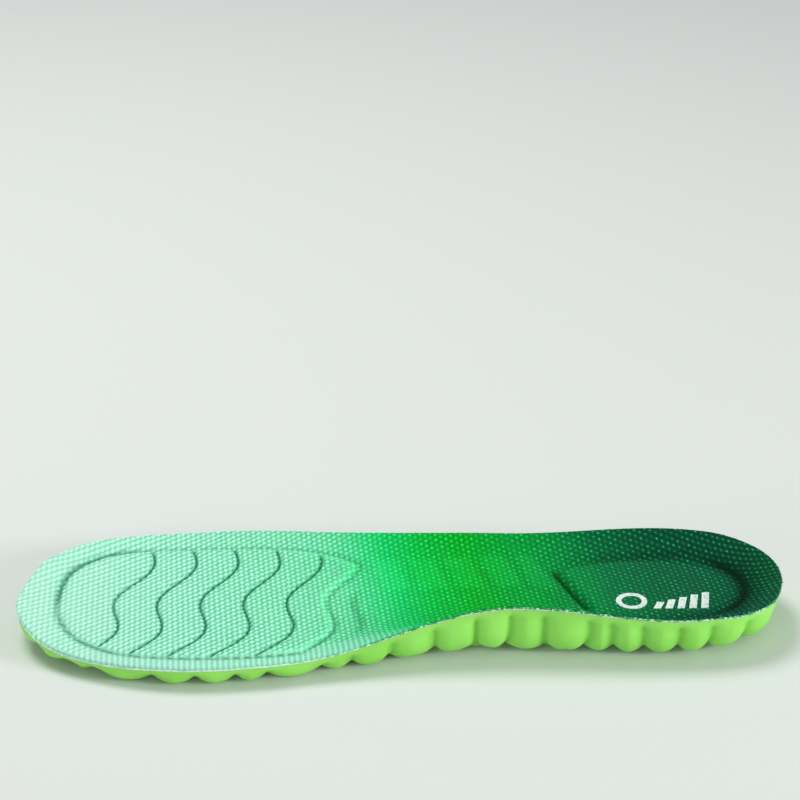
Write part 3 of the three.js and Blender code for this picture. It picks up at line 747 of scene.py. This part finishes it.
def knitted_mesh_material():
    """Polyester bird's-eye mesh, warp-knitted and dye-printed: matt, with a soft sheen, pale loops that
    the dye only tints on top and that carry a painted highlight, painted shade in the holes between
    them, and painted shade in and beside the grooves that a hot press has sunk."""
    material, tree, shader = new_material(
        "knitted_polyester_mesh", Roughness=0.85, Specular_IOR_Level=0.06, Sheen_Weight=0.02,
        Sheen_Roughness=0.5,
    )
    place = add_node(tree, "TexCoord", out="Object")
    split = add_node(tree, "SeparateXYZ", (place,), None)
    x = split.outputs["X"]
    dye = printed_fade(tree, place, x, split.outputs["Y"])
    weave, columns = knit_weave(tree, x)
    pressed, groove, shade, proud_highlight = (
        add_node(tree, "Attribute", out="Fac", attribute_name=name)
        for name in ("pressed", "groove", "shade", "proud_highlight")
    )
    patch, ply, yarn = (
        add_node(tree, "TexNoise", {"Vector": place, "Scale": 1 / (size * MM), "Detail": detail})
        for size, detail in ((LOOP_PATCH, 2.0), (YARN_PLY, 1.0), (YARN_FILAMENT, 2.0))
    )
    # Loops lie where the weave is high and holes where it is low; the loops get a painted highlight and
    # the holes painted shade. The yarn's plies make both uneven, and both close up in the pressed band
    # by the rim.
    level = add_node(tree, "Math", (weave, 0.55), operation="SUBTRACT")
    uneven_weave = add_node(tree, "Math", (ply, 1.1, level), **TIMES_PLUS)
    sunk = add_node(tree, "Math", (uneven_weave, -1.0), **TIMES)
    patchy = add_node(tree, "MapRange", (patch, 0.35, 0.65, 0.15, 1.0), **EASED)
    loop = add_node(tree, "MapRange", (uneven_weave, 0.6, 1.05, 0.0, 1.0), **EASED)
    hole = add_node(tree, "MapRange", (sunk, 0.05, 0.6, 0.0, 1.0), **EASED)
    rib = add_node(tree, "MapRange", (columns, -0.6, 0.9, 0.0, 1.0), **EASED)
    open_cloth = add_node(tree, "Math", (1.0, pressed), operation="SUBTRACT", use_clamp=True)
    toe = add_node(tree, "MapRange", (x, cover_low.x, cover_low.x + 0.07, 0.5, 1.0), **EASED)
    loop = add_node(tree, "Math", (loop, patchy), **TIMES)
    loop = add_node(tree, "Math", (loop, open_cloth), **TIMES)
    hole = add_node(tree, "Math", (hole, open_cloth), **TIMES)
    hole = add_node(tree, "Math", (hole, toe), **TIMES)
    # Painted shade darkens the holes; the loops are paler yarn that the dye only tints, with a painted
    # highlight added on top.
    hole_shade_colour = add_node(tree, "Mix", {0: 1.0, 6: dye, 7: linear("#97ccb8")}, 2, **STAIN)
    hole_share = add_node(tree, "Math", (hole, 0.95), **TIMES)
    colour = add_node(tree, "Mix", {0: hole_share, 6: dye, 7: hole_shade_colour}, 2, **BLEND)
    # Painted highlight on the loops, over their paler yarn.
    lively = add_node(tree, "Mix", {0: 0.4, 6: dye, 7: linear("#38ff8c")}, 2, **BLEND)
    pale_yarn_and_highlight = add_node(tree, "Mix", {0: 1.0, 6: lively, 7: dye}, 2, **GLOW)
    colour = add_node(tree, "Mix", {0: loop, 6: colour, 7: pale_yarn_and_highlight}, 2, **BLEND)
    # In the pressed band the rows close up into ribs, painted with shade in their furrows and a
    # highlight on their crests, and proud places get a painted highlight.
    furrow_shade = add_node(tree, "Mix", {0: 0.3, 6: dye, 7: linear("#3f9f86")}, 2, **BLEND)
    crest_highlight = add_node(tree, "Mix", {0: 0.4, 6: dye, 7: linear("#d6fff0")}, 2, **BLEND)
    rib_shading = add_node(tree, "Mix", {0: rib, 6: furrow_shade, 7: crest_highlight}, 2, **BLEND)
    pressed_share = add_node(tree, "Math", (pressed, 0.85), **TIMES)
    colour = add_node(tree, "Mix", {0: pressed_share, 6: colour, 7: rib_shading}, 2, **BLEND)
    # Painted highlight on the pads' banks, the bars and the heel pad.
    proud_highlight_share = add_node(tree, "Math", (proud_highlight, 0.22), **TIMES)
    colour = add_node(tree, "Mix", {0: proud_highlight_share, 6: colour, 7: pale_yarn_and_highlight}, 2, **BLEND)
    # Painted shade beside the grooves, strongest in the holes, and stronger painted shade in the grooves
    # themselves.
    depth = add_node(tree, "Math", (hole, 0.5, 0.5), **TIMES_PLUS)
    shaded = add_node(tree, "Math", (depth, shade), **TIMES)
    beside_groove_shade = add_node(tree, "Mix", {0: 1.0, 6: dye, 7: linear("#6fae96")}, 2, **STAIN)
    colour = add_node(tree, "Mix", {0: shaded, 6: colour, 7: beside_groove_shade}, 2, **BLEND)
    in_groove_shade = add_node(tree, "Mix", {0: 1.0, 6: dye, 7: linear("#28866a")}, 2, **STAIN)
    colour = add_node(tree, "Mix", {0: groove, 6: colour, 7: in_groove_shade}, 2, **BLEND)
    # Filaments make each yarn a little streaky, in tone and in height.
    tone = add_node(tree, "MapRange", (yarn, 0.25, 0.75, 0.9, 1.06), **EASED)
    streaky = add_node(tree, "HueSaturation", {"Color": colour, "Value": tone})
    height = add_node(tree, "Math", (yarn, 0.35, weave), **TIMES_PLUS)
    bump = add_node(tree, "Bump", {"Height": height, "Strength": 0.55, "Distance": 0.18 * MM})
    tree.links.new(streaky, shader.inputs["Base Color"])
    tree.links.new(bump, shader.inputs["Normal"])
    return material


def foam_material():
    """Moulded polyurethane foam: the skin against the mould is satin and slightly waxy and lets a little
    light in; painted shade makes it a touch darker at the bottom of the grooves."""
    material, tree, shader = new_material(
        "moulded_polyurethane_foam", IOR=1.46, Specular_IOR_Level=0.42, Subsurface_Weight=0.25,
        Subsurface_Radius=(0.6, 1.0, 0.25), Subsurface_Scale=0.003,
    )
    place = add_node(tree, "TexCoord", out="Object")
    groove = add_node(tree, "Attribute", out="Fac", attribute_name="groove")
    cloud, flow, grain = (
        add_node(tree, "TexNoise", {"Vector": place, "Scale": 1 / (size * MM), "Detail": detail})
        for size, detail in ((FOAM_CLOUD, 3.0), (FOAM_FLOW, 2.0), (FOAM_GRAIN, 3.0))
    )
    clouded = add_node(tree, "MapRange", (cloud, 0.3, 0.7, 0.0, 1.0), **EASED)
    ends = {6: linear("#8fdc58"), 7: linear("#99e664")}
    body = add_node(tree, "Mix", {0: clouded} | ends, 2, **BLEND)
    # Painted shade: the groove bottoms are darkened.
    depth = add_node(tree, "MapRange", (groove, 0.45, 1.0, 0.0, 0.6), **EASED)
    colour = add_node(tree, "Mix", {0: depth, 6: body, 7: linear("#70bf3a")}, 2, **BLEND)
    height = add_node(tree, "Math", (flow, 2.5, grain), **TIMES_PLUS)
    bump = add_node(tree, "Bump", {"Height": height, "Strength": 0.12, "Distance": 0.2 * MM})
    gloss = add_node(tree, "MapRange", (cloud, 0.25, 0.75, 0.36, 0.5), **EASED)
    tree.links.new(colour, shader.inputs["Base Color"])
    tree.links.new(bump, shader.inputs["Normal"])
    tree.links.new(gloss, shader.inputs["Roughness"])
    return material


def film_material():
    """Hot-melt adhesive film, extruded thin: milky, smooth and half glossy, nearly white."""
    material, tree, shader = new_material("hot_melt_film", Roughness=0.4)
    place = add_node(tree, "TexCoord", out="Object")
    scale = 1 / (FILM_CLOUD * MM)
    cloud = add_node(tree, "TexNoise", {"Vector": place, "Scale": scale, "Detail": 2.0})
    ends = {6: linear("#dcf7e6"), 7: linear("#f2fff6")}
    colour = add_node(tree, "Mix", {0: cloud} | ends, 2, **BLEND)
    tree.links.new(colour, shader.inputs["Base Color"])
    return material


def cut_edge_material():
    """Ends of knit yarn melted and frayed by the trimming knife: undyed, so nearly white, with a
    breath of the dye from the cloth beside it, which is deeper from the waist to the heel."""
    material, tree, shader = new_material("cut_yarn_ends", Roughness=0.75, Sheen_Weight=0.3)
    place = add_node(tree, "TexCoord", out="Object")
    x = add_node(tree, "SeparateXYZ", (place,), "X")
    toe_end = cover_low.x + 0.09
    heelward = add_node(tree, "MapRange", (x, toe_end, toe_end + 0.05, 0.0, 1.0), **EASED)
    scale = 1 / (YARN_TUFT * MM)
    tuft = add_node(tree, "TexNoise", {"Vector": place, "Scale": scale, "Detail": 2.0})
    ends = {6: linear("#f0fff8"), 7: linear("#c4f5d6")}
    pale = add_node(tree, "Mix", {0: heelward} | ends, 2, **BLEND)
    ends = {6: linear("#a9ead2"), 7: linear("#23885a")}
    dyed = add_node(tree, "Mix", {0: heelward} | ends, 2, **BLEND)
    sparse = add_node(tree, "Math", (heelward, -0.1, tuft), **TIMES_PLUS)
    undyed = add_node(tree, "MapRange", (sparse, 0.4, 0.55, 0.0, 1.0), **EASED)
    colour = add_node(tree, "Mix", {0: undyed, 6: dyed, 7: pale}, 2, **BLEND)
    tree.links.new(colour, shader.inputs["Base Color"])
    return material


def print_material():
    """Heat-transferred print film on knit: white, thin, and broken by pinpricks where it bridges
    the holes of the mesh."""
    material, tree, shader = new_material("heat_transfer_print", Roughness=0.5)
    place = add_node(tree, "TexCoord", out="Object")
    scale = 1 / (PRINT_PRICK * MM)
    prick = add_node(tree, "TexNoise", {"Vector": place, "Scale": scale, "Detail": 2.0})
    pricked = add_node(tree, "MapRange", (prick, 0.56, 0.68, 0.0, 1.0), **EASED)
    ends = {6: linear("#e9f4ee"), 7: linear("#5fa887")}
    colour = add_node(tree, "Mix", {0: pricked} | ends, 2, **BLEND)
    bump = add_node(tree, "Bump", {"Height": prick, "Strength": 0.3, "Distance": 0.2 * MM})
    tree.links.new(colour, shader.inputs["Base Color"])
    tree.links.new(bump, shader.inputs["Normal"])
    return material


# ======== Pieces ========
FOAM_STEP = np.full(STATIONS, 0.68)
COVER_STEP = np.array([0.62] * 4 + [0.55] * 4 + [0.36] * 5 + [0.5] * 3)
COVER_REACH = 42  # a long ray of the cover
COVER_ROW = 0.62


def build_foam():
    """The foam moulding: the blank with the moulding pins' holes cut out of it."""
    foam = foam_blank()
    face_out(foam)
    cutter = pins()
    face_out(cutter)
    cut = foam.modifiers.new("perforations", "BOOLEAN")
    cut.operation = "DIFFERENCE"
    cut.solver = "MANIFOLD"
    cut.object = cutter
    apply_modifiers(foam)
    bpy.data.objects.remove(cutter)
    foam.data.set_sharp_from_angle(angle=math.radians(50))
    foam.data.materials.clear()
    foam.data.materials.append(foam_material())
    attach(foam, "root")
    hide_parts("foam_body")


def build_film():
    """The hot-melt film between the foam and the cover."""
    film = bed_shell(
        "hot_melt_backing", np.full(STATIONS, 2.0), np.linspace(0, 1, 18), np.linspace(1, 0, 18),
        COVER_THICKNESS + BOND_GAP, BACKING_THICKNESS, False, overhang=0.05,
    )
    face_out(film)
    film.data.materials.append(film_material())
    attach(film, "root")
    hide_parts("backing_film")


def build_cover():
    """The knitted cover, with its press marks and knit."""
    shares = spaced_shares(COVER_REACH, COVER_ROW)
    cover = bed_shell(
        "knitted_cover", COVER_STEP, shares, np.linspace(1, 0, 9), 0.0, COVER_THICKNESS, True,
    )
    face_out(cover)
    cover.data.materials.append(knitted_mesh_material())
    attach(cover, "root")
    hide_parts("mesh_cover")
    return cover


def rim_points(stations):
    """Points on the cover's cut edge at mid-thickness, with the outward direction at each. The
    frame is the plan turned half round, so inward in plan is outward in the frame."""
    rays = Rays(stations)
    u, v, z, _ = bed(rays, (1,), detail=False)
    points = to_frame(u[0], v[0], z[0] - COVER_THICKNESS / 2)
    return points, np.concatenate([rays.inward, np.zeros((len(points), 1))], axis=1)


def smooth_noise(count, knots):
    """A closed random curve from -1 to 1 through a number of knots, eased between them."""
    values = rng.uniform(-1, 1, knots)
    at = np.arange(count) * knots / count
    index = at.astype(int)
    return mix(values[index], values[(index + 1) % knots], smoothstep(at - index, 0, 1))


def build_cut_edge():
    """A lumpy bead of melted yarn ends along the cover's edge: a ring of eight-sided sections whose
    radius and place wander on eased random curves, more at the heel than at the toe."""
    points, outward = rim_points(whole_rim(np.full(STATIONS, 0.42)))
    count = len(points)
    thick = smoothstep(points[:, 0], -30, 20)
    lumps = smooth_noise(count, count // 4) + 0.5 * smooth_noise(count, count // 2)
    radius = mix(0.2, 0.27, thick) + mix(0.06, 0.12, thick) * lumps
    wander = mix(0.08, 0.16, thick)
    centre = points + outward * (0.04 + wander * smooth_noise(count, count // 3))[:, None]
    centre[:, 2] += mix(-0.55, -0.4, thick) + wander * smooth_noise(count, count // 3)
    angle = np.arange(8) * 2 * np.pi / 8
    side = outward[None] * np.cos(angle)[:, None, None]
    up = np.array([0, 0, 1.25])[None, None] * np.sin(angle)[:, None, None]
    ring = centre[None] + (side + up) * radius[None, :, None]
    closed = np.concatenate([ring, ring[:1]])
    edge = make_piece("cover_cut_edge", closed.reshape(-1, 3), grid_triangles(9, count))
    face_out(edge)
    edge.data.materials.append(cut_edge_material())
    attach(edge, "root")
    return edge


def build_fray():
    """Loose yarn ends along the cut: short three-sided tapering hooks that leave the bead and bend,
    each along a quadratic curve."""
    count = 1500
    points, outward = rim_points(np.sort(rng.uniform(0, 2 * STATIONS, count)))
    points[:, 2] -= 0.35
    up = np.array([0, 0, 1.0])
    along = np.cross(up, outward)
    lean = rng.normal(0, 0.7, (count, 1)) * along + rng.normal(0.3, 0.5, (count, 1)) * up
    lean += outward * 0.8
    lean /= np.linalg.norm(lean, axis=1)[:, None]
    bend = rng.normal(0, 0.5, (count, 1)) * along + rng.normal(0, 0.5, (count, 1)) * up
    length = rng.uniform(0.3, 1.0, (count, 1))
    steps = np.linspace(0, 1, 4)
    step = steps[:, None, None]
    path = points[None] + lean[None] * length * step + bend[None] * length * step**2
    thickness = 0.09 * (1 - 0.7 * steps)
    angle = np.arange(3) * 2 * np.pi / 3
    corners = path[:, None] + thickness[:, None, None, None] * (
        along[None, None] * np.cos(angle)[None, :, None, None] + up * np.sin(angle)[None, :, None, None])
    corners = corners.transpose(2, 0, 1, 3)
    one = grid_triangles(4, 3)
    caps = np.array([[0, 2, 1], [9, 10, 11]])
    tufts = np.concatenate([one, caps])[None] + np.arange(count)[:, None, None] * 12
    fray = make_piece("cover_frayed_ends", corners.reshape(-1, 3), tufts.reshape(-1, 3))
    fray.data.materials.append(cut_edge_material())
    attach(fray, "root")
    return fray


PRINT_FOLLOWS = 0.7  # share of the knit's relief that the print follows
PRINT_SINK = 0.1  # how far it is pressed into the cloth
RING_BORE = 3.6 / 5.5  # the ring's inner radius as a share of its outer one
RING_ROWS = 6
RING_COLUMNS = 96
PRINT_BARS = 5
BAR_SLANT = 1.8


def print_patch(name, grid, closed, node, material):
    """A thin film over a grid of points in the frame's millimetres, which follows a share of the
    knit's relief. A closed grid's top and underside meet in rings. An open one is walled in along
    its border."""
    rows, columns = grid.shape[:2]
    relief = knit_relief(*knit_phase(grid[..., 0], grid[..., 1]), grid[..., 0])
    lift = HEEL_PAD_TOP + BOND_GAP + PRINT_FOLLOWS * relief
    top = np.concatenate([grid, (lift + PRINT_THICKNESS)[..., None]], axis=-1)
    bottom = np.concatenate([grid, (lift - PRINT_SINK)[..., None]], axis=-1)
    if closed:
        corners = np.concatenate([top, bottom[::-1], top[:1]])
        patch = make_piece(name, corners.reshape(-1, 3), grid_triangles(len(corners), columns))
    else:
        upper = grid_triangles(rows, columns, closed=False)
        lower = upper[:, ::-1] + rows * columns
        index = np.arange(rows * columns).reshape(rows, columns)
        border = np.concatenate([index[0, :-1], index[:-1, -1], index[-1, :0:-1], index[:0:-1, 0]])
        after = np.roll(border, -1)
        under = rows * columns
        wall = np.concatenate([
            np.stack([after, border, border + under], 1),
            np.stack([after, border + under, after + under], 1),
        ])
        corners = np.concatenate([top.reshape(-1, 3), bottom.reshape(-1, 3)])
        patch = make_piece(name, corners, np.concatenate([upper, lower, wall]))
    face_out(patch)
    patch.data.set_sharp_from_angle(angle=math.radians(50))
    patch.data.materials.append(material)
    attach(patch, "root")
    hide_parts(node)


def build_print():
    """The ring and the bars of the heel print, each in the box of its CAD node."""
    material = print_material()
    low, high = (np.array(corner[:2]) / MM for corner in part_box("print_ring"))
    middle, outer = (low + high) / 2, (high[0] - low[0]) / 2
    radii = np.linspace(outer, outer * RING_BORE, RING_ROWS)[:, None]
    angle = np.linspace(0, 2 * np.pi, RING_COLUMNS + 1)[:-1][None]
    ring = np.stack([middle[0] + radii * np.cos(angle), middle[1] + radii * np.sin(angle)], axis=-1)
    print_patch("ring_print", ring, True, "print_ring", material)
    for bar in range(1, PRINT_BARS + 1):
        low, high = (np.array(corner[:2]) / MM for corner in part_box(f"print_bar_{bar}"))
        across = np.linspace(0, 1, 9)[None] * (high[0] - low[0] - BAR_SLANT)
        up = np.linspace(0, 1, 25)[:, None]
        side = low[1] + (high[1] - low[1]) * up + 0 * across
        grid = np.stack([low[0] + across + BAR_SLANT * up, side], axis=-1)
        print_patch(f"bar_print_{bar}", grid, False, f"print_bar_{bar}", material)


build_foam()
build_film()
cover = build_cover()
cut_edge = build_cut_edge()
fray = build_fray()
build_print()


# ======== Stage ========
def floor_material():
    """Matt painted board: plain, pale and even."""
    return new_material("matt_painted_board", Base_Color=linear("#dfe3df"), Roughness=0.9)[0]


def build_stage():
    """The ground a hair under the insole, and an even sky."""
    bpy.ops.mesh.primitive_plane_add(size=6, location=(0, 0, -0.0002))
    floor = bpy.context.object
    floor.name = "floor"
    floor.data.materials.append(floor_material())
    world = bpy.data.worlds.new("studio")
    world.use_nodes = True
    world.node_tree.nodes["Background"].inputs["Color"].default_value = linear("#eef2f4")
    world.node_tree.nodes["Background"].inputs["Strength"].default_value = 0.42
    bpy.context.scene.world = world


def soft_light(name, place, size, watts):
    """A round lamp that faces the middle of the insole."""
    light = bpy.data.lights.new(name, "AREA")
    light.shape = "DISK"
    light.size = size
    light.energy = watts
    lamp = bpy.data.objects.new(name, light)
    lamp.location = place
    direction = -lamp.location
    lamp.rotation_euler = direction.to_track_quat("-Z", "Y").to_euler()
    bpy.context.scene.collection.objects.link(lamp)


def build_camera():
    """A long lens over the arch side, swung a little towards the toe. It looks over the insole by a
    share of the frame's width, so that the insole stands low in the frame."""
    distance = 0.797
    elevation = math.radians(30)
    swing = math.radians(1.3)
    overlook = 0.242
    camera = bpy.data.cameras.new("camera")
    camera.lens = 100
    camera.sensor_width = 36
    eye = bpy.data.objects.new("camera", camera)
    target = np.array([0, 0, 0.008])
    away = np.array([
        -math.sin(swing) * math.cos(elevation),
        -math.cos(swing) * math.cos(elevation),
        math.sin(elevation),
    ])
    eye.location = target + away * distance
    tilt = math.atan2(overlook * camera.sensor_width, camera.lens)
    eye.rotation_euler = (math.pi / 2 - elevation + tilt, 0, -swing)
    bpy.context.scene.collection.objects.link(eye)
    bpy.context.scene.camera = eye


build_stage()
soft_light("key", (-0.5, 0.45, 1.25), 0.7, 11)
soft_light("fill", (1.3, -0.6, 0.45), 0.4, 13)
soft_light("front", (-0.8, -1.2, 0.4), 0.6, 3.5)
build_camera()
bpy.context.scene.view_settings.view_transform = "Standard"
